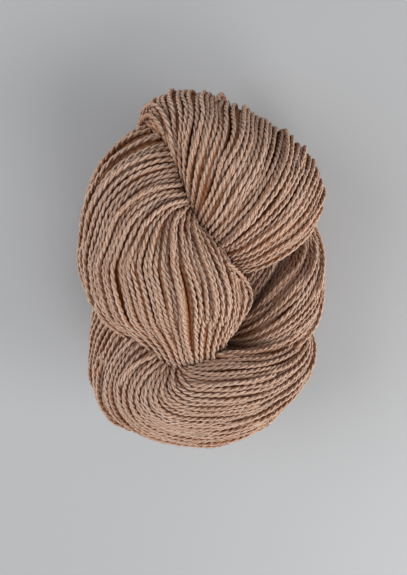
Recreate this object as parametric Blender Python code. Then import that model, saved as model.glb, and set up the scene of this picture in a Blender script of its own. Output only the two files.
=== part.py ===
"""A twisted hank of heavy two-ply wool yarn, lying on its back.

The hank is a wound loop that has been twisted, folded and tucked through its own
end, so six bundles of strands cross over each other.  Each bundle is a closed
loft through a short table of sections, and all of them are joined into one solid.
X is to the right of the face, +Y runs to the capped end, +Z is the face.
The origin is on the ground under the middle of the hank.
"""
import math

import bmesh
import bpy
import numpy as np
from mathutils import Matrix

# ---- driving sizes, in metres unless the name says otherwise
MM = 0.001
GROUND_CUT = 1.2          # mm, how far the lowest strands are pressed flat
SHIFT_X = -2.2            # mm, brings the middle of the hank over the origin
SHIFT_Y = -4.5            # mm
STATIONS_PER_ROW = 3      # lofted sections between two rows of a table
RING_POINTS = 26          # points round one section
FRAME_SMOOTHING = 12      # passes that calm the direction a section faces
FRAME_SAMPLES = 14        # samples per row used for that smoothing
WELD = 0.000005           # m, corners closer than this become one
GROUND_BLOCK = 0.6        # m, side of the block that cuts the flat spot

# Every row is one section of a bundle, in mm: its left edge point, its right edge
# point, how far it bulges outwards and inwards from the line between them, and how
# far the strands have rolled round the bundle there.
COLUMNS = ("left_x", "left_y", "left_z", "right_x", "right_y", "right_z",
           "crown", "belly", "roll_deg")

# over the top: fans out from under the front bundle, wraps over the capped end and
# crosses the back down to the lower left
CAP = (
    (-14, 26, 36, 6, -6, 36, 10, 10, 40),
    (-2, 43, 54, 19, 8, 50, 11, 12, 34),
    (-11, 60, 66, 35, 15, 54, 20, 14, 24),
    (-22, 80, 66, 49, 24, 54, 29, 14, 12),
    (-33, 86, 56, 59, 34, 48, 31, 12, 4),
    (-33, 86, 43, 60, 37, 38, 32, 10, 0),
    (-26, 79, 29, 56, 35, 28, 28, 10, 0),
    (-17, 66, 19, 42, 26, 19, 20, 10, 0),
    (-21, 45, 16, 27, 9, 15, 16, 11, 0),
    (-32, 26, 16, 11, -12, 14, 15, 12, 0),
    (-46, 8, 21, -10, -30, 15, 15, 13, 0),
    (-55, -4, 32, -26, -42, 24, 14, 13, 0),
    (-54, -14, 46, -36, -46, 42, 11, 11, 0),
    (-48, -18, 58, -40, -40, 56, 8, 8, 0),
)

# the fat front bundle: comes out from under the cap, turns down and dives in the eye
FRONT = (
    (14, 46, 44, 6, 80, 36, 12, 12, 0),
    (-2, 45, 58, -26, 84, 44, 20, 24, 0),
    (-2, 42, 62, -46, 70, 46, 29, 33, 0),
    (2, 38, 63, -57, 46, 46, 37, 38, 0),
    (12, 24, 63, -62, 18, 46, 41, 39, 0),
    (19, 7, 63, -59, -2, 50, 40, 37, 0),
    (21, -7, 62, -50, -15, 53, 34, 30, -6),
    (17, -19, 61, -39, -24, 57, 27, 22, -10),
    (10, -27, 58, -28, -31, 58, 20, 16, -10),
    (6, -33, 44, -17, -36, 45, 12, 11, -10),
)

# the deeper bundle on the right: fans out from the eye, up the right side and under
# the cap
SIDE = (
    (-4, -10, 34, 4, -30, 34, 8, 8, 0),
    (12, -21, 43, 20, -38, 44, 11, 9, 0),
    (25, -14, 48, 37, -39, 50, 14, 11, 0),
    (36, 2, 48, 54, -31, 46, 16, 11, 0),
    (45, 15, 44, 61, -17, 37, 15, 10, 0),
    (49, 27, 37, 62, 2, 30, 13, 7, 0),
    (47, 39, 33, 58, 22, 27, 10, 6, 0),
    (42, 51, 31, 53, 40, 27, 8, 6, 0),
)

# strands seen deeper down between the cap and the side bundle
MIDDLE = (
    (0, -8, 34, 6, -26, 34, 7, 7, 0),
    (12, -4, 40, 17, -24, 40, 9, 7, 0),
    (21, 9, 42, 31, -8, 42, 9, 7, 0),
    (31, 25, 41, 43, 12, 39, 9, 7, 0),
    (37, 38, 36, 49, 27, 34, 8, 7, 0),
)

# the bottom loop: fans out under the front bundle, sweeps round the foot and back
FOOT = (
    (-14, -20, 56, -18, 16, 46, 10, 10, 0),
    (-18, -29, 70, -52, 6, 48, 12, 13, 0),
    (-18, -33, 77, -61, -30, 46, 16, 15, 0),
    (-16, -35, 79, -57, -60, 44, 19, 16, 0),
    (-12, -35, 81, -43, -77, 44, 20, 17, 0),
    (-4, -33, 82, -20, -87, 46, 20, 17, 0),
    (12, -30, 79, 7, -89, 46, 20, 17, 0),
    (32, -31, 70, 28, -81, 45, 17, 14, 0),
    (50, -28, 54, 46, -62, 37, 14, 9, 0),
    (53, -14, 34, 44, -44, 22, 13, 8, 0),
    (40, 6, 20, 30, -24, 15, 13, 10, 0),
    (23, 22, 21, 12, -4, 19, 9, 8, 0),
)

# the loop end tucked through the eye, folded back along the underside
TUCK = (
    (12, -38, 50, -8, -42, 50, 9, 9, 0),
    (18, -57, 41, -16, -57, 41, 13, 7, 0),
    (26, -69, 28, -26, -69, 28, 14, 6, 0),
    (29, -60, 16, -29, -60, 16, 14, 6, 0),
    (28, -42, 13, -28, -42, 13, 13, 8, 0),
    (22, -20, 15, -26, -20, 15, 12, 9, 0),
    (12, 2, 20, -18, 2, 20, 9, 8, 0),
)

# name, section table, squareness of its sections (2 is an ellipse)
BUNDLES = (
    ("cap", CAP, 2.4),
    ("front", FRONT, 2.3),
    ("side", SIDE, 2.2),
    ("middle", MIDDLE, 2.2),
    ("foot", FOOT, 2.3),
    ("tuck", TUCK, 2.3),
)

# the packed middle of the hank: centre and radii, mm
CORE = (
    (6, 40, 48, 38, 34, 27),
    (-4, -4, 44, 34, 36, 24),
    (4, -42, 46, 34, 26, 20),
)
CORE_RINGS = 12
CORE_SIDES = 20

YARN_COLOUR = (0.51, 0.34, 0.23, 1.0)
YARN_ROUGHNESS = 0.9


def through_rows(rows, count):
    """A smooth curve (Catmull-Rom) through the rows of a table."""
    rows = np.asarray(rows, float)
    spans = len(rows) - 1
    padded = np.vstack([2 * rows[0] - rows[1], rows, 2 * rows[-1] - rows[-2]])
    along = np.linspace(0, spans, count)
    at = np.minimum(along.astype(int), spans - 1)
    u = (along - at)[:, None]
    a, b, c, d = padded[at], padded[at + 1], padded[at + 2], padded[at + 3]
    return 0.5 * (2 * b + (c - a) * u + (2 * a - 5 * b + 4 * c - d) * u ** 2
                  + (3 * b - a - 3 * c + d) * u ** 3)


def calm(vectors, passes):
    for _ in range(passes):
        inner = (vectors[:-2] + 2 * vectors[1:-1] + vectors[2:]) / 4
        vectors = np.vstack([vectors[:1], inner, vectors[-1:]])
    return vectors


def unit(vectors):
    return vectors / np.linalg.norm(vectors, axis=1)[:, None]


def bundle_rings(table, squareness):
    """Rings of points (mm) round a bundle, one ring per station."""
    fine = through_rows(table, (len(table) - 1) * FRAME_SAMPLES + 1)
    left, right = fine[:, 0:3], fine[:, 3:6]
    centre = (left + right) / 2
    across = unit(right - left)
    along = calm(np.gradient(centre, axis=0), FRAME_SMOOTHING)
    outward = calm(unit(np.cross(across, along)), FRAME_SMOOTHING)
    outward = unit(outward - across * (outward * across).sum(1)[:, None])
    half = np.linalg.norm(right - left, axis=1) / 2
    stations = (len(table) - 1) * STATIONS_PER_ROW + 1
    picks = np.linspace(0, len(fine) - 1, stations).round().astype(int)
    angles = np.arange(RING_POINTS) / RING_POINTS * math.tau
    power = 2 / squareness
    wide = np.sign(np.cos(angles)) * np.abs(np.cos(angles)) ** power
    deep = np.sign(np.sin(angles)) * np.abs(np.sin(angles)) ** power
    rings = []
    for k in picks:
        crown, belly = fine[k, 6], fine[k, 7]
        depth = np.where(deep > 0, crown, belly) * deep
        rings.append(centre[k] + np.outer(half[k] * wide, across[k])
                     + np.outer(depth, outward[k]))
    return np.array(rings)


def loft(name, rings):
    """A closed body through the rings, each end closed by a fan to its middle."""
    count, points, _ = rings.shape
    verts = [tuple(p * MM) for ring in rings for p in ring]
    faces = []
    for i in range(count - 1):
        for j in range(points):
            a = i * points + j
            b = i * points + (j + 1) % points
            faces.append((a, b, b + points, a + points))
    for ring, turn in ((0, False), (count - 1, True)):
        middle = len(verts)
        verts.append(tuple(rings[ring].mean(axis=0) * MM))
        for j in range(points):
            a = ring * points + j
            b = ring * points + (j + 1) % points
            faces.append((middle, a, b) if turn else (middle, b, a))
    return body(name, verts, faces)


def ellipsoid(name, centre, radii):
    verts = [(centre[0], centre[1], centre[2] + radii[2])]
    for i in range(1, CORE_RINGS):
        tilt = math.pi * i / CORE_RINGS
        for j in range(CORE_SIDES):
            turn = math.tau * j / CORE_SIDES
            verts.append((centre[0] + radii[0] * math.sin(tilt) * math.cos(turn),
                          centre[1] + radii[1] * math.sin(tilt) * math.sin(turn),
                          centre[2] + radii[2] * math.cos(tilt)))
    verts.append((centre[0], centre[1], centre[2] - radii[2]))
    last = len(verts) - 1
    faces = []
    for j in range(CORE_SIDES):
        k = (j + 1) % CORE_SIDES
        faces.append((0, 1 + j, 1 + k))
        foot = 1 + (CORE_RINGS - 2) * CORE_SIDES
        faces.append((last, foot + k, foot + j))
        for i in range(CORE_RINGS - 2):
            a = 1 + i * CORE_SIDES
            faces.append((a + j, a + CORE_SIDES + j, a + CORE_SIDES + k, a + k))
    return body(name, [(x * MM, y * MM, z * MM) for x, y, z in verts], faces)


def body(name, verts, faces):
    """A mesh object with its faces pointing outwards."""
    mesh = bpy.data.meshes.new(name)
    mesh.from_pydata(verts, [], faces)
    mesh.validate()
    thing = bpy.data.objects.new(name, mesh)
    bpy.context.collection.objects.link(thing)
    if signed_volume(mesh) < 0:
        mesh.flip_normals()
    return thing


def signed_volume(mesh):
    mesh.calc_loop_triangles()
    total = 0.0
    for tri in mesh.loop_triangles:
        a, b, c = (mesh.vertices[i].co for i in tri.vertices)
        total += a.dot(b.cross(c)) / 6
    return total


def apply_boolean(target, tool, operation):
    """Join or cut with the exact solver, then drop the tool."""
    step = target.modifiers.new(operation.lower(), "BOOLEAN")
    step.object = tool
    step.operation = operation
    step.solver = "EXACT"
    step.use_self = True
    graph = bpy.context.evaluated_depsgraph_get()
    result = bpy.data.meshes.new_from_object(target.evaluated_get(graph))
    target.modifiers.clear()
    old = target.data
    target.data = result
    bpy.data.meshes.remove(old)
    bpy.data.objects.remove(tool)


def weld(mesh, distance):
    work = bmesh.new()
    work.from_mesh(mesh)
    bmesh.ops.remove_doubles(work, verts=work.verts, dist=distance)
    bmesh.ops.dissolve_degenerate(work, dist=distance, edges=work.edges)
    bmesh.ops.triangulate(work, faces=work.faces)
    work.to_mesh(mesh)
    work.free()


def yarn_material():
    material = bpy.data.materials.new("wool_yarn")
    material.use_nodes = True
    shader = material.node_tree.nodes["Principled BSDF"]
    shader.inputs["Base Color"].default_value = YARN_COLOUR
    shader.inputs["Roughness"].default_value = YARN_ROUGHNESS
    shader.inputs["Metallic"].default_value = 0.0
    material.diffuse_color = YARN_COLOUR
    return material


for old in list(bpy.data.objects):
    bpy.data.objects.remove(old)

hank = None
for bundle_name, table, squareness in BUNDLES:
    piece = loft(bundle_name, bundle_rings(table, squareness))
    if hank is None:
        hank = piece
    else:
        apply_boolean(hank, piece, "UNION")
    print(bundle_name, "joined,", len(hank.data.polygons), "faces so far")
for number, row in enumerate(CORE):
    apply_boolean(hank, ellipsoid(f"core_{number}", row[:3], row[3:]), "UNION")
    print("core", number, "joined,", len(hank.data.polygons), "faces so far")

# press the underside flat on the ground and bring the origin under the hank
hank.data.transform(Matrix.Translation((SHIFT_X * MM, SHIFT_Y * MM, 0)))
lowest = min(v.co.z for v in hank.data.vertices)
hank.data.transform(Matrix.Translation((0, 0, -lowest - GROUND_CUT * MM)))
half_block = GROUND_BLOCK / 2
corners = [(x, y, z) for x in (-half_block, half_block)
           for y in (-half_block, half_block) for z in (-half_block, 0.0)]
block_faces = [(0, 1, 3, 2), (4, 6, 7, 5), (0, 4, 5, 1), (2, 3, 7, 6), (0, 2, 6, 4), (1, 5, 7, 3)]
apply_boolean(hank, body("ground_block", corners, block_faces), "DIFFERENCE")
weld(hank.data, WELD)

hank.name = "hank"
hank.data.name = "hank"
hank.data.materials.clear()
hank.data.materials.append(yarn_material())
hank.data.shade_smooth()
xs, ys, zs = zip(*(v.co for v in hank.data.vertices))
print("hank", len(hank.data.polygons), "triangles; box mm",
      [round(v * 1000, 2) for v in (min(xs), max(xs), min(ys), max(ys), min(zs), max(zs))])
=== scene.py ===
import math

import bpy
import numpy as np
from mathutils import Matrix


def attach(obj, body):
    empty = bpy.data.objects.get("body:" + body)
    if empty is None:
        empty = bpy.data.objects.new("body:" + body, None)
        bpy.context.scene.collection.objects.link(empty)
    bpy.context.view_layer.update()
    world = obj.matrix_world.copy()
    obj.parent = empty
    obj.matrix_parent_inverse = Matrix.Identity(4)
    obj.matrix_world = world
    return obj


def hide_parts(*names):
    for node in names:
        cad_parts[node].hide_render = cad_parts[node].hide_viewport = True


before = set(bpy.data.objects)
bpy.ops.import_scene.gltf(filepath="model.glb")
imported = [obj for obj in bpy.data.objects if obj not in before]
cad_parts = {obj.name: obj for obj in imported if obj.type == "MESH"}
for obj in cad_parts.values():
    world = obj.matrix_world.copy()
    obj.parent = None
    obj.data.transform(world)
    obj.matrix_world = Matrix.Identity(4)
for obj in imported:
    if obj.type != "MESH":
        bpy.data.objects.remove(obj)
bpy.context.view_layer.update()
mm = 0.001
rng = np.random.default_rng(11)

# camera first: it looks down on the face of the hank, which lies on its back
cameraView = {"aim": (-0.0022, -0.0045, 0.0495), "distance": 0.273, "leanDegrees": 14.0, "lens": 31.3}


def addCamera(view):
    lean = math.radians(view["leanDegrees"])
    lens = bpy.data.cameras.new("lookDown")
    lens.lens = view["lens"]
    lens.sensor_width = 36
    lens.clip_start = 0.01
    lens.clip_end = 20
    camera = bpy.data.objects.new("lookDown", lens)
    bpy.context.scene.collection.objects.link(camera)
    x, y, z = view["aim"]
    d = view["distance"]
    camera.location = (x, y + d * math.sin(lean), z + d * math.cos(lean))
    camera.rotation_euler = (-lean, 0, 0)
    bpy.context.scene.camera = camera


addCamera(cameraView)
print("camera placed")

# how the hank is wound: every row is one section of a bundle, in mm
# left edge x y z, right edge x y z, crown, belly, roll of the strands in degrees
hankForm = {
    "offset": (-2.2, -4.5, -0.46),
    "samplesPerRow": 14,
    "calmPasses": 12,
    "ground": 0.0,
}

bundleTables = {
    "cap": {"squareness": 2.4, "rows": (
        (-14, 26, 36, 6, -6, 36, 10, 10, 40),
        (-2, 43, 54, 19, 8, 50, 11, 12, 34),
        (-11, 60, 66, 35, 15, 54, 20, 14, 24),
        (-22, 80, 66, 49, 24, 54, 29, 14, 12),
        (-33, 86, 56, 59, 34, 48, 31, 12, 4),
        (-33, 86, 43, 60, 37, 38, 32, 10, 0),
        (-26, 79, 29, 56, 35, 28, 28, 10, 0),
        (-17, 66, 19, 42, 26, 19, 20, 10, 0),
        (-21, 45, 16, 27, 9, 15, 16, 11, 0),
        (-32, 26, 16, 11, -12, 14, 15, 12, 0),
        (-46, 8, 21, -10, -30, 15, 15, 13, 0),
        (-55, -4, 32, -26, -42, 24, 14, 13, 0),
        (-54, -14, 46, -36, -46, 42, 11, 11, 0),
        (-48, -18, 58, -40, -40, 56, 8, 8, 0))},
    "front": {"squareness": 2.3, "emerging": (1.0, 0.97, 0.78, 0.6, 0.48), "rows": (
        (14, 46, 44, 6, 80, 36, 12, 12, 0),
        (-2, 45, 58, -26, 84, 44, 20, 24, 0),
        (-2, 42, 62, -46, 70, 46, 29, 33, 0),
        (2, 38, 63, -57, 46, 46, 37, 38, 0),
        (12, 24, 63, -62, 18, 46, 41, 39, -3),
        (19, 7, 63, -59, -2, 50, 40, 37, -9),
        (21, -7, 62, -50, -15, 53, 34, 30, -17),
        (17, -19, 61, -39, -24, 57, 27, 22, -23),
        (10, -27, 58, -28, -31, 58, 20, 16, -25),
        (6, -33, 44, -17, -36, 45, 12, 11, -25))},
    "side": {"squareness": 2.2, "rows": (
        (-4, -10, 34, 4, -30, 34, 8, 8, 0),
        (12, -21, 43, 20, -38, 44, 11, 9, 0),
        (25, -14, 48, 37, -39, 50, 14, 11, 0),
        (36, 2, 48, 54, -31, 46, 16, 11, 0),
        (45, 15, 44, 61, -17, 37, 15, 10, 0),
        (49, 27, 37, 62, 2, 30, 13, 7, 0),
        (47, 39, 33, 58, 22, 27, 10, 6, 0),
        (42, 51, 31, 53, 40, 27, 8, 6, 0))},
    "middle": {"squareness": 2.2, "rows": (
        (0, -8, 34, 6, -26, 34, 7, 7, 0),
        (12, -4, 40, 17, -24, 40, 9, 7, 0),
        (21, 9, 42, 31, -8, 42, 9, 7, 0),
        (31, 25, 41, 43, 12, 39, 9, 7, 0),
        (37, 38, 36, 49, 27, 34, 8, 7, 0))},
    "foot": {"squareness": 2.3, "rows": (
        (-14, -20, 56, -18, 16, 46, 10, 10, 0),
        (-18, -29, 70, -52, 6, 48, 12, 13, -8),
        (-18, -33, 77, -61, -30, 46, 16, 15, -32),
        (-16, -35, 79, -57, -60, 44, 19, 16, -62),
        (-12, -35, 81, -43, -77, 44, 20, 17, -88),
        (-4, -33, 82, -20, -87, 46, 20, 17, -105),
        (12, -30, 79, 7, -89, 46, 20, 17, -115),
        (32, -31, 70, 28, -81, 45, 17, 14, -120),
        (50, -28, 54, 46, -62, 37, 14, 9, -122),
        (53, -14, 34, 44, -44, 22, 13, 8, -122),
        (40, 6, 20, 30, -24, 15, 13, 10, -122),
        (23, 22, 21, 12, -4, 19, 9, 8, -122))},
    "tuck": {"squareness": 2.3, "rows": (
        (12, -38, 50, -8, -42, 50, 9, 9, 0),
        (18, -57, 41, -16, -57, 41, 13, 7, 0),
        (26, -69, 28, -26, -69, 28, 14, 6, 0),
        (29, -60, 16, -29, -60, 16, 14, 6, 0),
        (28, -42, 13, -28, -42, 13, 13, 8, 0),
        (22, -20, 15, -26, -20, 15, 12, 9, 0),
        (12, 2, 20, -18, 2, 20, 9, 8, 0))},
}


def throughRows(rows, count):
    rows = np.asarray(rows, float)
    spans = len(rows) - 1
    padded = np.vstack([2 * rows[0] - rows[1], rows, 2 * rows[-1] - rows[-2]])
    along = np.linspace(0, spans, count)
    at = np.minimum(along.astype(int), spans - 1)
    u = (along - at)[:, None]
    a, b, c, d = padded[at], padded[at + 1], padded[at + 2], padded[at + 3]
    curve = 2 * b + (c - a) * u + (2 * a - 5 * b + 4 * c - d) * u ** 2
    return 0.5 * (curve + (3 * b - a - 3 * c + d) * u ** 3)


def calmed(vectors, passes):
    for _ in range(passes):
        inner = (vectors[:-2] + 2 * vectors[1:-1] + vectors[2:]) / 4
        vectors = np.vstack([vectors[:1], inner, vectors[-1:]])
    return vectors


def unit(vectors):
    return vectors / np.maximum(np.linalg.norm(vectors, axis=-1), 1e-9)[..., None]


def windBundle(table):
    rows = table["rows"]
    fine = throughRows(rows, (len(rows) - 1) * hankForm["samplesPerRow"] + 1)
    left, right = fine[:, 0:3], fine[:, 3:6]
    across = unit(right - left)
    centre = (left + right) / 2
    along = calmed(np.gradient(centre, axis=0), hankForm["calmPasses"])
    outward = calmed(unit(np.cross(across, along)), hankForm["calmPasses"])
    outward = unit(outward - across * (outward * across).sum(1)[:, None])
    return {"centre": centre + np.array(hankForm["offset"]), "across": across, "outward": outward,
            "along": np.cross(outward, across), "half": np.linalg.norm(right - left, axis=1) / 2,
            "crown": fine[:, 6], "belly": fine[:, 7], "roll": np.radians(fine[:, 8]),
            "power": 2 / table["squareness"], "squareness": table["squareness"],
            "emerging": emergingAlong(table, len(fine))}


def emergingAlong(table, count):
    # share of the top side that the outer strands fill; the others come out from under them
    marks = table.get("emerging")
    if marks is None:
        return None
    at = np.linspace(0, len(table["rows"]) - 1, count)
    return np.interp(at, np.arange(len(marks)), marks)


def skin(bundle, angle, depth):
    # points below the bundle's surface: angle and depth are (samples, strands)
    cs, sn = np.cos(angle), np.sin(angle)
    wide = np.sign(cs) * np.abs(cs) ** bundle["power"]
    deep = np.sign(sn) * np.abs(sn) ** bundle["power"]
    half = np.maximum(bundle["half"][:, None] - depth, 1)
    up = np.maximum(bundle["crown"][:, None] - depth, 1)
    down = np.maximum(bundle["belly"][:, None] - depth, 1)
    rise = np.where(deep > 0, up, down) * deep
    return (bundle["centre"][:, None] + (half * wide)[..., None] * bundle["across"][:, None]
            + rise[..., None] * bundle["outward"][:, None])


def girth(bundle, k):
    # angles round section k and the distance walked round it
    angle = np.linspace(0, math.tau, 361)
    ring = skin({**bundle, **{n: bundle[n][k:k + 1] for n in
                              ("centre", "across", "outward", "half", "crown", "belly")}},
                angle[None], np.zeros((1, 361)))[0]
    walked = np.concatenate([[0], np.cumsum(np.linalg.norm(np.diff(ring, axis=0), axis=1))])
    return angle, walked


def driftNoise(count, samples, knots):
    base = rng.standard_normal((count, knots + 3))
    t = np.linspace(0, knots, samples)
    i = np.minimum(t.astype(int), knots - 1)
    u = t - i
    return (base[:, i] * (1 - u) ** 3 / 6 + base[:, i + 1] * (3 * u ** 3 - 6 * u ** 2 + 4) / 6
            + base[:, i + 2] * (-3 * u ** 3 + 3 * u ** 2 + 3 * u + 1) / 6 + base[:, i + 3] * u ** 3 / 6)


def easeIn(x):
    x = np.clip(x, 0, 1)
    return x * x * (3 - 2 * x)


# the strands that lie on a bundle: spacing and depths in mm
strandLay = {
    "spacing": 2.75,
    "depth": 1.3,
    "underDepth": 2.1,       # how far the second layer lies below the first
    "clumping": 0.16,
    "wander": 0.45,
    "heightWander": 0.5,
    "wobble": 0.34,          # small loose bends that stay after settling
    "wobbleLength": 8.0,
    "riders": 0.3,           # short stretches that lie across the others, as a share of their number
    "riderDrift": 6.0,
    "riderLift": 1.9,
    "riderLength": (40, 95),
    "crowded": 2.45,         # closer than this, every other strand sinks
}


def placeRound(bundle, where, angle, walked):
    # where is the share of the way round, 0 at the right edge; returns angles (samples, strands)
    share = where.copy()
    emerging = bundle["emerging"]
    if emerging is not None:
        split = emerging[-1] / 2
        now = emerging[:, None] / 2
        outer = share * now / split
        late = 0.5 - (0.5 - share) * (0.5 - now) / (0.5 - split)
        share = np.where(share < split, outer, np.where(share < 0.5, late, share))
    share = (share + bundle["roll"][:, None] / math.tau) % 1
    return np.interp(share * walked[-1], walked, angle)


def layStrands(bundle, under):
    lay = strandLay
    samples = len(bundle["centre"])
    marks = np.arange(0, samples, 4)
    rings = np.array([girth(bundle, k)[1][-1] for k in marks])
    angle, walked = girth(bundle, marks[int(np.argmax(rings))])
    count = int(round(np.percentile(rings, 94) / lay["spacing"]))
    length = np.linalg.norm(np.diff(bundle["centre"], axis=0), axis=1).sum()
    knots = max(3, int(length / 45))
    place = np.arange(count) + (0.5 if under else 0.0)
    pull = np.zeros(count)
    start = 0
    while start < count:
        end = min(count, start + int(rng.integers(2, 5)))
        pull[start:end] = ((start + end - 1) / 2 - np.arange(start, end)) * lay["clumping"]
        start = end
    strength = 0.6 + 0.5 * driftNoise(count, samples, knots)
    sideways = lay["wander"] * driftNoise(count, samples, knots) + pull[:, None] * strength
    sideways += 0.08 * driftNoise(count, samples, knots * 4)
    height = lay["heightWander"] * driftNoise(count, samples, knots)
    # how close the neighbours come: where they crowd, every other strand sinks under them
    even = placeRound(bundle, np.tile(place / count, (samples, 1)), angle, walked)
    bare = skin(bundle, even, np.full((samples, 1), 1.5))
    gap = np.linalg.norm(np.roll(bare, -1, axis=1) - bare, axis=2)
    gap = (gap + np.roll(gap, 1, axis=1)) / 2
    sink, sinkMore = easeIn((lay["crowded"] - gap) / 0.7), easeIn((1.5 - gap) / 0.5)
    odd = (np.arange(count) % 2).astype(float)
    fourth = (np.arange(count) % 4 == 2).astype(float)
    dip = sink * odd * 2.2 + sinkMore * (fourth * 3.2 + odd * 2.0)
    where = ((place[:, None] + sideways) % count) / count
    turned = placeRound(bundle, where.T, angle, walked)
    depth = lay["depth"] + dip - height.T * (0.6 if under else 1) + (lay["underDepth"] if under else 0)
    points = skin(bundle, turned, depth)
    outward = unit(points - skin(bundle, turned, depth + 1))
    strands = [np.hstack([points[:, i], outward[:, i]]) for i in range(count)]
    return strands if under else strands + layRiders(bundle, count, length, angle, walked)


def layRiders(bundle, count, length, angle, walked):
    # stretches of strand that cross the others at a small angle and dive under them at both ends
    lay = strandLay
    samples = len(bundle["centre"])
    riders = []
    for _ in range(int(count * lay["riders"])):
        span = int(min(samples - 1, samples * rng.uniform(*lay["riderLength"]) / length))
        first = int(rng.integers(0, samples - span))
        u = np.linspace(0, 1, samples)
        u = np.clip((u - u[first]) / (u[first + span] - u[first]), 0, 1)
        where = (rng.random() + rng.uniform(-0.5, 0.5) * lay["riderDrift"] * u / count) % 1
        turned = placeRound(bundle, where[:, None], angle, walked)
        depth = lay["depth"] + 1.5 - (lay["riderLift"] + 1.5) * np.sin(math.pi * u[:, None]) ** 0.6
        points = skin(bundle, turned, depth)
        outward = unit(points - skin(bundle, turned, depth + 1))
        riders.append(np.hstack([points[:, 0], outward[:, 0]])[first:first + span])
    return riders


def evenly(points, step):
    # columns past the third, such as the outward direction, are carried along
    walked = np.concatenate([[0], np.cumsum(np.linalg.norm(np.diff(points[:, :3], axis=0), axis=1))])
    count = max(2, int(round(walked[-1] / step)) + 1)
    marks = np.linspace(0, walked[-1], count)
    return np.stack([np.interp(marks, walked, column) for column in points.T], 1)


def depthInside(bundle, points):
    # how far points lie below a bundle's surface, in mm; far below zero outside it
    best = np.full(len(points), -1e9)
    last = len(bundle["centre"]) - 1
    for k in range(1, last, 3):
        v = points - bundle["centre"][k]
        a, x, y = v @ bundle["along"][k], v @ bundle["across"][k], v @ bundle["outward"][k]
        reach = np.where(y > 0, bundle["crown"][k], bundle["belly"][k])
        q = bundle["squareness"]
        ratio = (np.abs(x / bundle["half"][k]) ** q + np.abs(y / reach) ** q) ** (1 / q)
        depth = (1 - ratio) * np.hypot(x, y) / np.maximum(ratio, 1e-3)
        depth = np.where(ratio < 0.25, min(bundle["half"][k], bundle["crown"][k]) * 0.75, depth)
        slab = 0.0
        for m in (min(k + 3, last), max(k - 3, 0)):
            there = (bundle["centre"][m] - bundle["centre"][k]
                     + x[:, None] * (bundle["across"][m] - bundle["across"][k])
                     + y[:, None] * (bundle["outward"][m] - bundle["outward"][k]))
            slab = np.maximum(slab, np.linalg.norm(there, axis=1))
        best = np.maximum(best, np.where(np.abs(a) < 0.6 * slab + 0.5, depth, -1e9))
    return best


def keepVisible(strands, limit):
    # cut away what lies deeper than limit inside another bundle
    points = np.concatenate([p[:, :3] for _, p in strands])
    owner = np.concatenate([np.full(len(p), list(bundles).index(n)) for n, p in strands])
    deep = np.full(len(points), -1e9)
    for k, name in enumerate(bundles):
        others = owner != k
        deep[others] = np.maximum(deep[others], depthInside(bundles[name], points[others]))
    kept, at = [], 0
    for name, p in strands:
        shown = np.concatenate([[False], deep[at:at + len(p)] < limit, [False]]).astype(int)
        at += len(p)
        for a, b in zip(np.nonzero(np.diff(shown) == 1)[0], np.nonzero(np.diff(shown) == -1)[0]):
            if b - a >= 5:
                kept.append((name, p[a:b]))
    return kept


def closePairs(points, strand, order, reach):
    cell = np.floor(points / reach).astype(np.int64)
    cell -= cell.min(0)
    size = cell.max(0) + 2
    key = (cell[:, 0] * size[1] + cell[:, 1]) * size[2] + cell[:, 2]
    sort = np.argsort(key, kind="stable")
    keys = key[sort]
    half = [(0, 0, 0), (1, 0, 0), (0, 1, 0), (0, 0, 1), (1, 1, 0), (1, -1, 0), (1, 0, 1), (1, 0, -1),
            (0, 1, 1), (0, 1, -1), (1, 1, 1), (1, 1, -1), (1, -1, 1), (1, -1, -1)]
    firsts, seconds = [], []
    for sx, sy, sz in half:
        other = ((cell[:, 0] + sx) * size[1] + cell[:, 1] + sy) * size[2] + cell[:, 2] + sz
        low = np.searchsorted(keys, other, "left")
        many = np.searchsorted(keys, other, "right") - low
        a = np.repeat(np.arange(len(points)), many)
        b = sort[np.repeat(low, many) + np.arange(len(a)) - np.repeat(np.cumsum(many) - many, many)]
        near = ((points[a] - points[b]) ** 2).sum(1) < reach * reach
        near &= (strand[a] != strand[b]) | (np.abs(order[a] - order[b]) > 4)
        if (sx, sy, sz) == (0, 0, 0):
            near &= a < b
        firsts.append(a[near])
        seconds.append(b[near])
    return np.concatenate(firsts), np.concatenate(seconds)


# the strands settle against each other and on the ground: sizes in mm
settling = {"step": 2.4, "apart": 2.36, "rounds": 40, "stiffness": 0.18, "homeward": 0.06,
            "lowest": 1.5}


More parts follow.
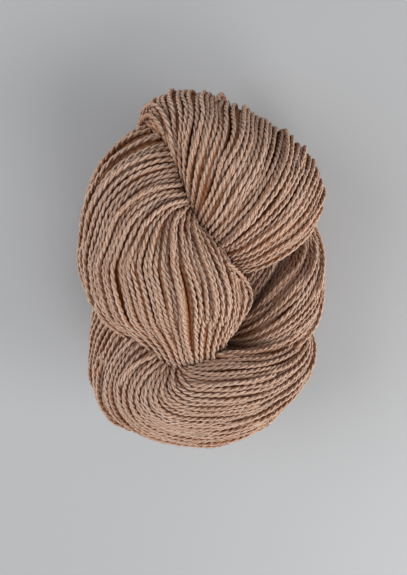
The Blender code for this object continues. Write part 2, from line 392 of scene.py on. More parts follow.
def settle(lines):
    points = np.concatenate(lines)
    strand = np.concatenate([np.full(len(p), i) for i, p in enumerate(lines)])
    order = np.concatenate([np.arange(len(p)) for p in lines])
    home = points.copy()
    total = len(points)
    joined = np.nonzero(strand[1:] == strand[:-1])[0]
    inner = np.nonzero((strand[1:-1] == strand[:-2]) & (strand[1:-1] == strand[2:]))[0] + 1
    first = np.nonzero(np.concatenate([[True], strand[1:] != strand[:-1]]))[0]
    final = np.nonzero(np.concatenate([strand[1:] != strand[:-1], [True]]))[0]
    rest = np.linalg.norm(points[joined + 1] - points[joined], axis=1)
    for turn in range(settling["rounds"]):
        if turn % 5 == 0:
            a, b = closePairs(points, strand, order, settling["apart"] * 1.45)
        heading = np.zeros_like(points)
        heading[1:-1] = points[2:] - points[:-2]
        heading[first] = points[first + 1] - points[first]
        heading[final] = points[final] - points[final - 1]
        heading = unit(heading)
        away = points[a] - points[b]
        along = (away * heading[b]).sum(1)
        away = away - along[:, None] * heading[b]
        gap = np.linalg.norm(away, axis=1)
        hit = (gap < settling["apart"]) & (np.abs(along) < settling["step"] * 0.8)
        push = away[hit] * ((settling["apart"] - gap[hit]) / np.maximum(gap[hit], 1e-3) * 0.5)[:, None]
        hits = np.bincount(a[hit], minlength=total) + np.bincount(b[hit], minlength=total)
        move = np.stack([np.bincount(a[hit], push[:, k], total) - np.bincount(b[hit], push[:, k], total)
                         for k in range(3)], 1)
        points = points + move / np.maximum(hits, 1)[:, None] * 1.3
        span = points[joined + 1] - points[joined]
        long = np.linalg.norm(span, axis=1)
        fix = span * ((long - rest) / np.maximum(long, 1e-6) * 0.25)[:, None]
        points = points + np.stack([np.bincount(joined, fix[:, k], total)
                                    - np.bincount(joined + 1, fix[:, k], total) for k in range(3)], 1)
        middle = (points[inner - 1] + points[inner + 1]) / 2
        points[inner] += (middle - points[inner]) * settling["stiffness"]
        points += (home - points) * settling["homeward"]
        points[:, 2] = np.maximum(points[:, 2], settling["lowest"])
    return np.split(points, final[:-1] + 1)


# loose strands that lie over the others, each by its own route in mm
accents = (
    ("front", ((8.7, 14.9, 76), (12.9, 11.1, 72), (18, 4.9, 65), (22.1, -2.4, 61), (22.7, -8.7, 62),
               (19.8, -13.5, 66), (15.5, -17.6, 70), (12, -23.6, 69))),
    ("front", ((10.8, 9.5, 74), (15.9, 3, 66), (19.3, -3, 63), (20, -8.4, 63), (17.7, -12.6, 67),
               (14.4, -15.2, 70))),
    ("cap", ((-33.9, 78.2, 57), (-31.7, 82, 62), (-27.8, 83.3, 67), (-23.7, 80.3, 72), (-20.2, 74.3, 76))),
    ("cap", ((-32.6, 85.1, 58), (-28.1, 88.2, 63), (-23.2, 86.6, 70), (-19.2, 80.4, 76),
             (-16.9, 72.4, 79), (-16, 64.6, 80))),
)


def accentLine(route):
    line = evenly(throughRows(route, 12 * len(route)), settling["step"])
    return np.hstack([line, np.tile((0.0, 0.0, 1.0), (len(line), 1))])


def wobbled(points, outward):
    knots = max(2, int(len(points) * settling["step"] / strandLay["wobbleLength"]))
    sway = driftNoise(2, len(points), knots) * strandLay["wobble"]
    heading = unit(np.gradient(points, axis=0))
    sideways = unit(np.cross(heading, outward))
    moved = points + sideways * sway[0][:, None] + outward * sway[1][:, None]
    moved[:, 2] = np.maximum(moved[:, 2], settling["lowest"] - 0.2)
    return moved


bundles = {name: windBundle(table) for name, table in bundleTables.items()}
outer = [(name, evenly(p, settling["step"])) for name in bundles for p in layStrands(bundles[name], False)]
outer = keepVisible(outer, 4.0)
settled = settle([p[:, :3] for _, p in outer])
outer = [(name, np.hstack([wobbled(q, p[:, 3:6]), p[:, 3:]])) for (name, p), q in zip(outer, settled)]
outer += [(name, accentLine(route)) for name, route in accents]
inner = [(name, evenly(p, 3.5)) for name in bundles for p in layStrands(bundles[name], True)]
inner = keepVisible(inner, 3.0)
print("strands laid:", len(outer), "outer,", len(inner), "under them")

# sizes in mm: two plies that twist round each other
yarn = {"plyRadius": 0.74, "twistRadius": 0.56, "pitch": 7.8, "step": 1.5, "sides": 5, "unevenness": 0.7}

# ---- the yarn itself, by Geometry Nodes


class NodeDesk:
    # short calls for building a node tree
    def __init__(self, tree):
        self.tree = tree

    def add(self, kind, settings=None, **inputs):
        node = self.tree.nodes.new(kind)
        for name, value in (settings or {}).items():
            setattr(node, name, value)
        for name, value in inputs.items():
            self.plug(node, name, value)
        return node

    def plug(self, node, name, value):
        socket = node.inputs[int(name[1:])] if name[0] == "i" and name[1:].isdigit() else node.inputs[name]
        if isinstance(value, bpy.types.NodeSocket):
            self.tree.links.new(value, socket)
        else:
            socket.default_value = value

    def math(self, operation, a, b=0.0):
        return self.add("ShaderNodeMath", {"operation": operation}, i0=a, i1=b).outputs[0]

    def vector(self, operation, a, b=None, scale=None):
        node = self.add("ShaderNodeVectorMath", {"operation": operation}, i0=a)
        if b is not None:
            self.plug(node, "i1", b)
        if scale is not None:
            self.plug(node, "Scale", scale)
        return node.outputs["Value" if operation in ("DOT_PRODUCT", "LENGTH") else "Vector"]


def newGeometryTree(name, sockets):
    tree = bpy.data.node_groups.new(name, "GeometryNodeTree")
    tree.interface.new_socket("Geometry", in_out="INPUT", socket_type="NodeSocketGeometry")
    for label, kind, value in sockets:
        socket = tree.interface.new_socket(label, in_out="INPUT", socket_type=kind)
        if value is not None:
            socket.default_value = value
    tree.interface.new_socket("Geometry", in_out="OUTPUT", socket_type="NodeSocketGeometry")
    return tree


def named(desk, name, kind):
    return desk.add("GeometryNodeInputNamedAttribute", {"data_type": kind}, Name=name).outputs[0]


def addShades(desk, mesh, radius):
    # the wool material paints shade and highlight from these: dark in the grooves and on the strands' flanks,
    # pale on the crests
    # crest: 0 in the groove between plies, 1 on their backs; facing: 1 where the strand looks out
    offset = desk.vector("SUBTRACT", desk.add("GeometryNodeInputPosition").outputs[0],
                         named(desk, "middle", "FLOAT_VECTOR"))
    crest = desk.math("DIVIDE", desk.vector("LENGTH", offset), radius)
    facing = desk.vector("DOT_PRODUCT", desk.vector("NORMALIZE", offset),
                         named(desk, "outward", "FLOAT_VECTOR"))
    for name, value in (("crest", crest), ("facing", facing)):
        mesh = desk.add("GeometryNodeStoreNamedAttribute", {"data_type": "FLOAT", "domain": "POINT"},
                        Geometry=mesh, Name=name, Value=value).outputs[0]
    for name in ("middle", "outward"):
        mesh = desk.add("GeometryNodeRemoveAttribute", Geometry=mesh, Name=name).outputs[0]
    return mesh


def makePlyTree():
    # twists plies round every strand; each ply is a closed tube
    tree = newGeometryTree("plyStrands", [
        ("Ply Radius", "NodeSocketFloat", 0.0009), ("Twist Radius", "NodeSocketFloat", 0.0006),
        ("Pitch", "NodeSocketFloat", 0.007), ("Step", "NodeSocketFloat", 0.00115),
        ("Sides", "NodeSocketInt", 5), ("Seed", "NodeSocketInt", 3),
        ("Unevenness", "NodeSocketFloat", 0.0), ("Material", "NodeSocketMaterial", None)])
    desk = NodeDesk(tree)
    given = desk.add("NodeGroupInput").outputs
    curve = desk.add("GeometryNodeMeshToCurve", Mesh=given["Geometry"]).outputs[0]
    curve = desk.add("GeometryNodeCurveSplineType", {"spline_type": "CATMULL_ROM"}, Curve=curve).outputs[0]
    curve = desk.add("GeometryNodeSetSplineResolution", Geometry=curve, Resolution=4).outputs[0]
    curve = desk.add("GeometryNodeResampleCurve", {"mode": "LENGTH"}, Curve=curve,
                     Length=given["Step"]).outputs[0]
    curve = desk.add("GeometryNodeSetCurveNormal", {"mode": "MINIMUM_TWIST"}, Curve=curve).outputs[0]
    strand = desk.add("GeometryNodeCurveOfPoint").outputs["Curve Index"]
    tint = desk.add("FunctionNodeRandomValue", {"data_type": "FLOAT"}, ID=strand, Seed=given["Seed"])
    start = desk.add("FunctionNodeRandomValue", {"data_type": "FLOAT"}, ID=strand,
                     Seed=desk.math("ADD", given["Seed"], 17))
    along = desk.add("GeometryNodeSplineParameter").outputs["Length"]
    curve = desk.add("GeometryNodeStoreNamedAttribute", {"data_type": "FLOAT", "domain": "POINT"},
                     Geometry=curve, Name="tint", Value=tint.outputs[1]).outputs[0]
    curve = desk.add("GeometryNodeStoreNamedAttribute", {"data_type": "FLOAT", "domain": "POINT"},
                     Geometry=curve, Name="along",
                     Value=desk.math("ADD", along, start.outputs[1])).outputs[0]
    curve = desk.add("GeometryNodeStoreNamedAttribute", {"data_type": "FLOAT_VECTOR", "domain": "POINT"},
                     Geometry=curve, Name="middle",
                     Value=desk.add("GeometryNodeInputPosition").outputs[0]).outputs[0]
    thick = desk.add("ShaderNodeTexNoise", Scale=70.0, Detail=1.0, Vector=desk.vector(
        "ADD", desk.add("GeometryNodeInputPosition").outputs[0],
        desk.vector("SCALE", (0.37, 0.61, 0.23), scale=strand))).outputs["Fac"]
    thick = desk.math("ADD", desk.math("MULTIPLY", thick, given["Unevenness"]),
                      desk.math("SUBTRACT", 1.0, desk.math("MULTIPLY", given["Unevenness"], 0.5)))
    slack = desk.math("ADD", desk.math("MULTIPLY", tint.outputs[1], 0.3), 0.85)
    turns = desk.math("ADD", desk.math("DIVIDE", along, desk.math("MULTIPLY", given["Pitch"], slack)),
                      desk.math("ADD", start.outputs[1], desk.math("MULTIPLY", thick, 0.8)))
    angle = desk.math("MULTIPLY", turns, -math.tau)
    normal = desk.add("GeometryNodeInputNormal").outputs[0]
    tangent = desk.add("GeometryNodeInputTangent").outputs[0]
    across = desk.vector("CROSS_PRODUCT", tangent, normal)
    ring = desk.add("GeometryNodeCurvePrimitiveCircle", {"mode": "RADIUS"}, Resolution=given["Sides"],
                    Radius=given["Ply Radius"]).outputs[0]
    ring = desk.add("GeometryNodeStoreNamedAttribute", {"data_type": "FLOAT_VECTOR", "domain": "POINT"},
                    Geometry=ring, Name="ring", Value=desk.add("GeometryNodeInputPosition").outputs[0]).outputs[0]
    joined = desk.add("GeometryNodeJoinGeometry")
    for half in (0.0, math.pi):
        here = desk.math("ADD", angle, half)
        swing = desk.vector("ADD", desk.vector("SCALE", normal, scale=desk.math("COSINE", here)),
                            desk.vector("SCALE", across, scale=desk.math("SINE", here)))
        swing = desk.vector("SCALE", swing, scale=desk.math("MULTIPLY", given["Twist Radius"], thick))
        ply = desk.add("GeometryNodeSetPosition", Geometry=curve, Offset=swing).outputs[0]
        tube = desk.add("GeometryNodeCurveToMesh", Curve=ply, Scale=thick)
        desk.plug(tube, "Profile Curve", ring)
        desk.plug(tube, "Fill Caps", True)
        tree.links.new(tube.outputs[0], joined.inputs[0])
    mesh = addShades(desk, joined.outputs[0], desk.math("ADD", given["Ply Radius"], given["Twist Radius"]))
    mesh = desk.add("GeometryNodeSetShadeSmooth", Geometry=mesh).outputs[0]
    mesh = desk.add("GeometryNodeRealizeInstances", Geometry=mesh).outputs[0]
    mesh = desk.add("GeometryNodeSetMaterial", Geometry=mesh, Material=given["Material"]).outputs[0]
    desk.add("NodeGroupOutput", Geometry=mesh)
    return tree


def makeTubeTree():
    # a plain round tube along every line
    tree = newGeometryTree("plainTubes", [
        ("Radius", "NodeSocketFloat", 0.0014), ("Step", "NodeSocketFloat", 0.0035),
        ("Sides", "NodeSocketInt", 5), ("Seed", "NodeSocketInt", 3),
        ("Material", "NodeSocketMaterial", None)])
    desk = NodeDesk(tree)
    given = desk.add("NodeGroupInput").outputs
    curve = desk.add("GeometryNodeMeshToCurve", Mesh=given["Geometry"]).outputs[0]
    curve = desk.add("GeometryNodeResampleCurve", {"mode": "LENGTH"}, Curve=curve,
                     Length=given["Step"]).outputs[0]
    strand = desk.add("GeometryNodeCurveOfPoint").outputs["Curve Index"]
    tint = desk.add("FunctionNodeRandomValue", {"data_type": "FLOAT"}, ID=strand, Seed=given["Seed"])
    curve = desk.add("GeometryNodeStoreNamedAttribute", {"data_type": "FLOAT", "domain": "POINT"},
                     Geometry=curve, Name="tint", Value=tint.outputs[1]).outputs[0]
    along = desk.add("GeometryNodeSplineParameter").outputs["Length"]
    curve = desk.add("GeometryNodeStoreNamedAttribute", {"data_type": "FLOAT", "domain": "POINT"},
                     Geometry=curve, Name="along", Value=along).outputs[0]
    ring = desk.add("GeometryNodeCurvePrimitiveCircle", {"mode": "RADIUS"}, Resolution=given["Sides"],
                    Radius=given["Radius"]).outputs[0]
    ring = desk.add("GeometryNodeStoreNamedAttribute", {"data_type": "FLOAT_VECTOR", "domain": "POINT"},
                    Geometry=ring, Name="ring", Value=desk.add("GeometryNodeInputPosition").outputs[0]).outputs[0]
    curve = desk.add("GeometryNodeStoreNamedAttribute", {"data_type": "FLOAT_VECTOR", "domain": "POINT"},
                     Geometry=curve, Name="middle",
                     Value=desk.add("GeometryNodeInputPosition").outputs[0]).outputs[0]
    tube = desk.add("GeometryNodeCurveToMesh", Curve=curve)
    desk.plug(tube, "Profile Curve", ring)
    desk.plug(tube, "Fill Caps", True)
    mesh = addShades(desk, tube.outputs[0], given["Radius"])
    mesh = desk.add("GeometryNodeSetShadeSmooth", Geometry=mesh).outputs[0]
    mesh = desk.add("GeometryNodeRealizeInstances", Geometry=mesh).outputs[0]
    mesh = desk.add("GeometryNodeSetMaterial", Geometry=mesh, Material=given["Material"]).outputs[0]
    desk.add("NodeGroupOutput", Geometry=mesh)
    return tree


def makeFuzzTree():
    # short stray fibres that leave the strands on their outer side
    tree = newGeometryTree("strayFibres", [
        ("Every", "NodeSocketFloat", 0.007), ("Lift", "NodeSocketFloat", 0.0011),
        ("Length", "NodeSocketFloat", 0.005), ("Radius", "NodeSocketFloat", 0.00005),
        ("Seed", "NodeSocketInt", 5), ("Lowest", "NodeSocketFloat", 0.007),
        ("Material", "NodeSocketMaterial", None)])
    desk = NodeDesk(tree)
    given = desk.add("NodeGroupInput").outputs
    hair = desk.add("GeometryNodeCurveQuadraticBezier", Resolution=2)
    desk.plug(hair, "Start", (0.0, 0.0, 0.0))
    desk.plug(hair, "Middle", (0.1, 0.0, 0.55))
    desk.plug(hair, "End", (0.55, 0.1, 0.85))
    along = desk.add("GeometryNodeSplineParameter").outputs["Factor"]
    thin = desk.math("SUBTRACT", 1.0, desk.math("MULTIPLY", along, 0.7))
    ring = desk.add("GeometryNodeCurvePrimitiveCircle", {"mode": "RADIUS"}, Resolution=3,
                    Radius=desk.math("DIVIDE", given["Radius"], given["Length"])).outputs[0]
    tube = desk.add("GeometryNodeCurveToMesh", Curve=hair.outputs[0], Scale=thin)
    desk.plug(tube, "Profile Curve", ring)
    desk.plug(tube, "Fill Caps", True)
    curve = desk.add("GeometryNodeMeshToCurve", Mesh=given["Geometry"]).outputs[0]
    spots = desk.add("GeometryNodeCurveToPoints", {"mode": "LENGTH"}, Curve=curve, Length=given["Every"])
    height = desk.add("ShaderNodeSeparateXYZ",
                      Vector=desk.add("GeometryNodeInputPosition").outputs[0]).outputs["Z"]
    spots = desk.add("GeometryNodeDeleteGeometry", {"domain": "POINT"}, Geometry=spots.outputs[0],
                     Selection=desk.math("LESS_THAN", height, given["Lowest"]))
    number = desk.add("GeometryNodeInputIndex").outputs[0]

    def chance(low, high, extra):
        node = desk.add("FunctionNodeRandomValue", {"data_type": "FLOAT_VECTOR"}, ID=number,
                        Seed=desk.math("ADD", given["Seed"], extra))
        desk.plug(node, "i0", (low, low, low))
        desk.plug(node, "i1", (high, high, high))
        return node.outputs[0]

    outward = named(desk, "outward", "FLOAT_VECTOR")
    way = desk.vector("ADD", chance(-1.0, 1.0, 1), desk.vector("SCALE", outward, scale=0.55))
    turn = desk.add("FunctionNodeAlignRotationToVector", {"axis": "Z"}, Vector=way).outputs[0]
    shift = desk.vector("SCALE", outward, scale=given["Lift"])
    jitter = desk.vector("SCALE", chance(-1.0, 1.0, 2), scale=desk.math("MULTIPLY", given["Lift"], 0.7))
    points = desk.add("GeometryNodeSetPosition", Geometry=spots.outputs[0],
                      Offset=desk.vector("ADD", shift, jitter)).outputs[0]
    size = desk.vector("SCALE", chance(0.5, 1.3, 3), scale=given["Length"])
    hairs = desk.add("GeometryNodeInstanceOnPoints", Points=points, Instance=tube.outputs[0],
                     Rotation=turn, Scale=size).outputs[0]
    mesh = desk.add("GeometryNodeRealizeInstances", Geometry=hairs).outputs[0]
    mesh = desk.add("GeometryNodeRemoveAttribute", Geometry=mesh, Name="outward").outputs[0]
    mesh = desk.add("GeometryNodeSetShadeSmooth", Geometry=mesh).outputs[0]
    mesh = desk.add("GeometryNodeSetMaterial", Geometry=mesh, Material=given["Material"]).outputs[0]
    desk.add("NodeGroupOutput", Geometry=mesh)
    return tree


def linesToMesh(name, lines, tree, values):
    # lines in mm become edges, the tree turns them into tubes, and the result is kept as a plain mesh
    columns = np.concatenate(lines)
    points = columns[:, :3] * mm
    ends = np.cumsum([len(p) for p in lines])
    edges = np.stack([np.arange(len(points) - 1), np.arange(1, len(points))], 1)
    edges = np.delete(edges, ends[:-1] - 1, axis=0)
    guide = bpy.data.meshes.new(name + "Guide")
    guide.from_pydata(points.tolist(), edges.tolist(), [])
    outward = guide.attributes.new("outward", "FLOAT_VECTOR", "POINT")
    outward.data.foreach_set("vector", unit(columns[:, 3:6]).ravel())
    piece = bpy.data.objects.new(name, guide)
    bpy.context.scene.collection.objects.link(piece)
    step = piece.modifiers.new("yarn", "NODES")
    step.node_group = tree
    for item in tree.interface.items_tree:
        if item.item_type == "SOCKET" and item.in_out == "INPUT" and item.name in values:
            step[item.identifier] = values[item.name]
    graph = bpy.context.evaluated_depsgraph_get()
    mesh = bpy.data.meshes.new_from_object(piece.evaluated_get(graph))
    piece.modifiers.clear()
    piece.data = mesh
    mesh.name = name
    bpy.data.meshes.remove(guide)
    return piece


# ---- materials

woolLook = {
    "crest": (0.68, 0.50, 0.40, 1),     # painted highlight: the pale outer sides of the plies, where lit fuzz shows
    "body": (0.40, 0.235, 0.152, 1),
    "groove": (0.32, 0.085, 0.024, 1),    # painted shade, dark and saturated, down between plies and strands
    "roughness": 0.85,
    "sheen": 0.05,
    "sheenRoughness": 0.5,
    "sheenTint": (1.0, 0.86, 0.76, 1),
    # painted shade and highlight by crest: dark in the groove, brightest near the plies' edges, a little darker
    # on their backs
    "ramp": ((0.38, 0.0), (0.62, 0.5), (0.76, 0.8), (0.9, 0.42), (0.99, 0.3)),
    "bump": 0.6,
    "bumpDepth": 0.0003,
}


def makeFibreGroup():
    # colour from painted shade in the grooves to a painted highlight on the crests, varied by fine fibres that
    # run along the strand
    group = bpy.data.node_groups.new("woolFibres", "ShaderNodeTree")
    face = group.interface
    for name, kind, value in (("CrestHighlight", "NodeSocketColor", woolLook["crest"]),
                              ("Body", "NodeSocketColor", woolLook["body"]),
                              ("GrooveShade", "NodeSocketColor", woolLook["groove"]),
                              ("Shift", "NodeSocketFloat", 0.0), ("Painted Twist", "NodeSocketFloat", 0.0)):
        face.new_socket(name, in_out="INPUT", socket_type=kind).default_value = value
    face.new_socket("Color", in_out="OUTPUT", socket_type="NodeSocketColor")
    face.new_socket("Height", in_out="OUTPUT", socket_type="NodeSocketFloat")
    desk = NodeDesk(group)
    given = desk.add("NodeGroupInput").outputs
    ring = desk.add("ShaderNodeAttribute", {"attribute_name": "ring"}).outputs["Vector"]
    along, tint, crest, facing = (desk.add("ShaderNodeAttribute", {"attribute_name": name}).outputs["Fac"]
                                  for name in ("along", "tint", "crest", "facing"))
    # on plain tubes the two plies are painted, with their shade and highlight: the double angle round the tube
    # turns along it
    around = desk.add("ShaderNodeSeparateXYZ", Vector=desk.vector("NORMALIZE", ring)).outputs
    turn = desk.math("MULTIPLY", along, 2 * math.tau / (yarn["pitch"] * mm))
    double = desk.math("SUBTRACT", desk.math("MULTIPLY", around["X"], around["X"]),
                       desk.math("MULTIPLY", around["Y"], around["Y"]))
    crossed = desk.math("MULTIPLY", desk.math("MULTIPLY", around["X"], around["Y"]), 2.0)
    wave = desk.math("SUBTRACT", desk.math("MULTIPLY", double, desk.math("COSINE", turn)),
                     desk.math("MULTIPLY", crossed, desk.math("SINE", turn)))
    painted = desk.math("ADD", desk.math("MULTIPLY", wave, 0.22), 0.58)
    choice = desk.add("ShaderNodeMix", {"data_type": "FLOAT"})
    desk.plug(choice, "i0", given["Painted Twist"])
    desk.plug(choice, "i2", crest)
    desk.plug(choice, "i3", painted)
    crest = choice.outputs[0]
    # fine streaks along each ply, bent a little by noise
    angle = desk.math("ARCTAN2", around["Y"], around["X"])
    bend = desk.add("ShaderNodeTexNoise", {"noise_dimensions": "1D"}, Scale=330.0, Detail=1.0,
                    W=desk.math("ADD", along, tint)).outputs[0]
    streak = desk.math("ADD", desk.math("MULTIPLY", angle, 3.0), desk.math("MULTIPLY", bend, 7.0))
    streak = desk.math("ADD", desk.math("MULTIPLY", desk.math("SINE", streak), 0.5), 0.5)
    place = desk.add("ShaderNodeCombineXYZ", X=0.0, Y=tint, Z=desk.math("MULTIPLY", along, 0.3)).outputs[0]
    fibres = desk.add("ShaderNodeTexNoise", Vector=desk.vector("ADD", ring, place), Scale=2200.0,
                      Detail=2.0, Roughness=0.6)
    space = desk.add("ShaderNodeTexCoord").outputs["Object"]
    cloudy = desk.add("ShaderNodeTexNoise", Vector=space, Scale=48.0, Detail=2.0)
    heather = desk.add("ShaderNodeTexNoise", Vector=space, Scale=620.0, Detail=2.0)
    # shade runs 0 in a deep groove, 0.5 on the body, 1 on a crest
    shade = desk.add("ShaderNodeValToRGB", Fac=crest)
    ramp = shade.color_ramp
    for place, level in woolLook["ramp"]:
        stop = ramp.elements.new(place)
        stop.color = (level, level, level, 1)
    ramp.elements.remove(ramp.elements[0])
    ramp.elements.remove(ramp.elements[-1])
    # painted shade: darker where a strand faces sideways, down between its neighbours
    side = desk.add("ShaderNodeMapRange", {"clamp": True}, Value=facing)
    desk.plug(side, "From Min", -0.1)
    desk.plug(side, "From Max", 0.95)
    desk.plug(side, "To Min", -0.5)
    desk.plug(side, "To Max", 0.14)
    base = desk.math("ADD", desk.math("ADD", shade.outputs[0], side.outputs[0]), given["Shift"])
    total = base
    for value, weight in ((tint, 0.16), (streak, 0.55), (fibres.outputs["Fac"], 0.5),
                          (cloudy.outputs["Fac"], 0.2), (heather.outputs["Fac"], 0.4)):
        total = desk.math("ADD", total, desk.math("MULTIPLY", desk.math("SUBTRACT", value, 0.5), weight))
    # painted shade mixes in the groove colour where the shade is low; the painted highlight mixes in the crest
    # colour where shade and fibre noise run high
    low = desk.add("ShaderNodeMapRange", {"clamp": True}, Value=base)
    desk.plug(low, "From Min", -0.35)
    desk.plug(low, "From Max", 0.38)
    high = desk.add("ShaderNodeMapRange", {"clamp": True}, Value=total)
    desk.plug(high, "From Min", 0.2)
    blend = desk.add("ShaderNodeMix", {"data_type": "RGBA"})
    desk.plug(blend, "i0", low.outputs[0])
    desk.plug(blend, "i6", given["GrooveShade"])
    desk.plug(blend, "i7", given["Body"])
    final = desk.add("ShaderNodeMix", {"data_type": "RGBA"})
    desk.plug(final, "i0", high.outputs[0])
    desk.plug(final, "i6", blend.outputs[2])
    desk.plug(final, "i7", given["CrestHighlight"])
    result = desk.add("NodeGroupOutput")
    desk.plug(result, "Color", final.outputs[2])
    painted = desk.math("MULTIPLY", desk.math("MULTIPLY", painted, given["Painted Twist"]), 2.5)
    height = desk.math("ADD", desk.math("ADD", fibres.outputs["Fac"], painted), streak)
    desk.plug(result, "Height", height)
    return group


fibreGroup = makeFibreGroup()


def woolMaterial(name, shift, sheen, paintedTwist, colours=None):
    material = bpy.data.materials.new(name)
    material.use_nodes = True
    tree = material.node_tree
    shader = tree.nodes["Principled BSDF"]
    fibres = tree.nodes.new("ShaderNodeGroup")
    fibres.node_tree = fibreGroup
    fibres.inputs["Shift"].default_value = shift
    fibres.inputs["Painted Twist"].default_value = paintedTwist
    for socket, colour in (colours or {}).items():
        fibres.inputs[socket].default_value = colour
    bump = tree.nodes.new("ShaderNodeBump")
    bump.inputs["Strength"].default_value = woolLook["bump"]
    bump.inputs["Distance"].default_value = woolLook["bumpDepth"]
    tree.links.new(fibres.outputs["Height"], bump.inputs["Height"])
    tree.links.new(fibres.outputs["Color"], shader.inputs["Base Color"])
    tree.links.new(bump.outputs["Normal"], shader.inputs["Normal"])
    shader.inputs["Roughness"].default_value = woolLook["roughness"]
    shader.inputs["Sheen Weight"].default_value = sheen
    shader.inputs["Sheen Roughness"].default_value = woolLook["sheenRoughness"]
    shader.inputs["Sheen Tint"].default_value = woolLook["sheenTint"]
    shader.inputs["Specular IOR Level"].default_value = 0.0
    return material


wool = woolMaterial("camelWool", 0.0, woolLook["sheen"], 0.0)
# darker, more saturated copies of the wool for the under layer and the packed middle: painted shade, as that yarn
# lies under the outer strands; the middle is shifted darker still
shaded = {"CrestHighlight": (0.44, 0.25, 0.155, 1), "Body": (0.35, 0.15, 0.07, 1), "GrooveShade": (0.3, 0.09, 0.028, 1)}
innerShadedWool = woolMaterial("innerShadedWool", 0.0, 0.0, 1.0, shaded)
coreShadedWool = woolMaterial("coreShadedWool", -0.2, 0.0, 0.0, shaded)

# ---- the yarn pieces

underYarn = {"radius": 1.4, "step": 4.4, "sides": 5}
plyTree = makePlyTree()
tubeTree = makeTubeTree()


def finishPiece(piece):
    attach(piece, "root")
    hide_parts("hank")
    print(piece.name, "faces", len(piece.data.polygons))


for number, name in enumerate(bundles):
    lines = [p for n, p in outer if n == name]
    parts = 2 if name == "cap" else 1
    reached = np.cumsum([len(p) for p in lines])
    group = np.minimum((reached - 1) * parts // reached[-1], parts - 1)
    for part in range(parts):
        share = [p for p, g in zip(lines, group) if g == part]
        label = f"{name}_yarn_{part + 1}" if parts > 1 else f"{name}_yarn"
        finishPiece(linesToMesh(label, share, plyTree, {
            "Ply Radius": yarn["plyRadius"] * mm, "Twist Radius": yarn["twistRadius"] * mm,
            "Pitch": yarn["pitch"] * mm, "Step": yarn["step"] * mm, "Sides": yarn["sides"],
            "Seed": 3 + number * 7 + part, "Unevenness": yarn["unevenness"], "Material": wool}))
finishPiece(linesToMesh("under_yarn", [p for _, p in inner], tubeTree, {
    "Radius": underYarn["radius"] * mm, "Step": underYarn["step"] * mm, "Sides": underYarn["sides"],
    "Seed": 91, "Material": innerShadedWool}))

fuzz = {"every": 13.0, "lift": 1.0, "length": 4.0, "radius": 0.05, "lowest": 7.0}


def fuzzMaterial():
    material = bpy.data.materials.new("strayFibre")
    material.use_nodes = True
    tree = material.node_tree
    desk = NodeDesk(tree)
    shader = tree.nodes["Principled BSDF"]
    noise = desk.add("ShaderNodeTexNoise", Vector=desk.add("ShaderNodeTexCoord").outputs["Object"],
                     Scale=300.0)
    blend = desk.add("ShaderNodeMix", {"data_type": "RGBA"})
    desk.plug(blend, "i0", noise.outputs["Fac"])
    desk.plug(blend, "i6", woolLook["body"])
    desk.plug(blend, "i7", (0.85, 0.68, 0.56, 1))
    desk.plug(shader, "Base Color", blend.outputs[2])
    shader.inputs["Roughness"].default_value = 0.7
    return material


finishPiece(linesToMesh("fuzz", [p for _, p in outer], makeFuzzTree(), {
    "Every": fuzz["every"] * mm, "Lift": fuzz["lift"] * mm, "Length": fuzz["length"] * mm,
    "Radius": fuzz["radius"] * mm, "Lowest": fuzz["lowest"] * mm, "Seed": 23,
    "Material": fuzzMaterial()}))

# the imported middle, seen only as darkness between strands; it wears the darkest shaded copy of the wool,
# painted shade
packed = {"depth": 6.0, "sides": 28, "every": 5}


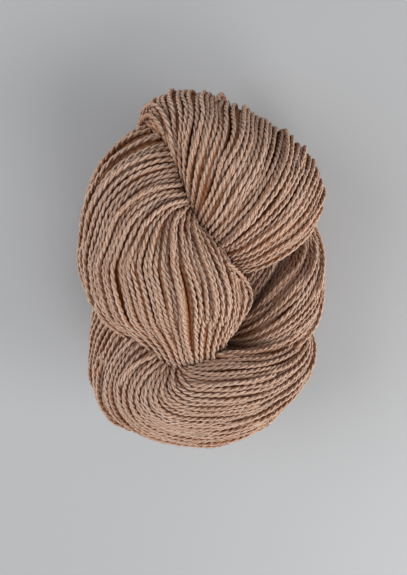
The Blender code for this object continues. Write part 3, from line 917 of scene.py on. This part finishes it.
def packedMiddle():
    verts, faces = [], []
    angle = np.linspace(0, math.tau, packed["sides"], endpoint=False)
    for bundle in bundles.values():
        samples = len(bundle["centre"])
        rings = skin(bundle, np.tile(angle, (samples, 1)), np.full((samples, 1), packed["depth"]))
        rings = rings[::packed["every"]]
        rings[..., 2] = np.maximum(rings[..., 2], 1.0)
        base, n = len(verts), packed["sides"]
        verts += (rings.reshape(-1, 3) * mm).tolist()
        for i in range(len(rings) - 1):
            for j in range(n):
                a, b = base + i * n + j, base + i * n + (j + 1) % n
                faces.append((a, b, b + n, a + n))
        faces.append(tuple(base + j for j in reversed(range(n))))
        faces.append(tuple(base + (len(rings) - 1) * n + j for j in range(n)))
    mesh = bpy.data.meshes.new("packed_middle")
    mesh.from_pydata(verts, [], faces)
    import bmesh
    work = bmesh.new()
    work.from_mesh(mesh)
    bmesh.ops.recalc_face_normals(work, faces=work.faces)
    work.to_mesh(mesh)
    work.free()
    mesh.shade_smooth()
    piece = bpy.data.objects.new("packed_middle", mesh)
    bpy.context.scene.collection.objects.link(piece)
    mesh.materials.append(coreShadedWool)
    return piece


finishPiece(packedMiddle())

# ---- floor, light

room = {"floor": (0.44, 0.442, 0.447, 1), "size": 6.0, "world": 0.38, "worldColour": (0.93, 0.96, 1.0, 1)}


def addFloor():
    mesh = bpy.data.meshes.new("floor")
    s = room["size"]
    mesh.from_pydata([(-s, -s, 0), (s, -s, 0), (s, s, 0), (-s, s, 0)], [], [(0, 1, 2, 3)])
    floor = bpy.data.objects.new("floor", mesh)
    bpy.context.scene.collection.objects.link(floor)
    material = bpy.data.materials.new("paleFloor")
    material.use_nodes = True
    shader = material.node_tree.nodes["Principled BSDF"]
    shader.inputs["Base Color"].default_value = room["floor"]
    shader.inputs["Roughness"].default_value = 0.7
    mesh.materials.append(material)


def addLight(name, place, target, size, power, colour):
    lamp = bpy.data.lights.new(name, "AREA")
    lamp.shape = "DISK"
    lamp.size = size
    lamp.energy = power
    lamp.color = colour
    light = bpy.data.objects.new(name, lamp)
    bpy.context.scene.collection.objects.link(light)
    light.location = place
    spot = np.array(target, float) - np.array(place, float)
    from mathutils import Vector
    light.rotation_mode = "QUATERNION"
    light.rotation_quaternion = Vector(spot).to_track_quat("-Z", "Y")


addFloor()
addLight("window", (0.40, -0.75, 0.85), (0, 0, 0.04), 0.6, 4.5, (1.0, 0.99, 0.97))
addLight("whiteWall", (-0.8, 0.15, 0.5), (0, 0, 0.04), 0.9, 6.0, (0.97, 0.98, 1.0))
addLight("paleWall", (0.85, -0.25, 0.35), (0, 0, 0.04), 0.7, 7.5, (1.0, 0.99, 0.97))
world = bpy.data.worlds.new("softRoom")
world.use_nodes = True
world.node_tree.nodes["Background"].inputs["Color"].default_value = room["worldColour"]
world.node_tree.nodes["Background"].inputs["Strength"].default_value = room["world"]
bpy.context.scene.world = world
bpy.context.scene.view_settings.view_transform = "Standard"
print("floor and lights ready")
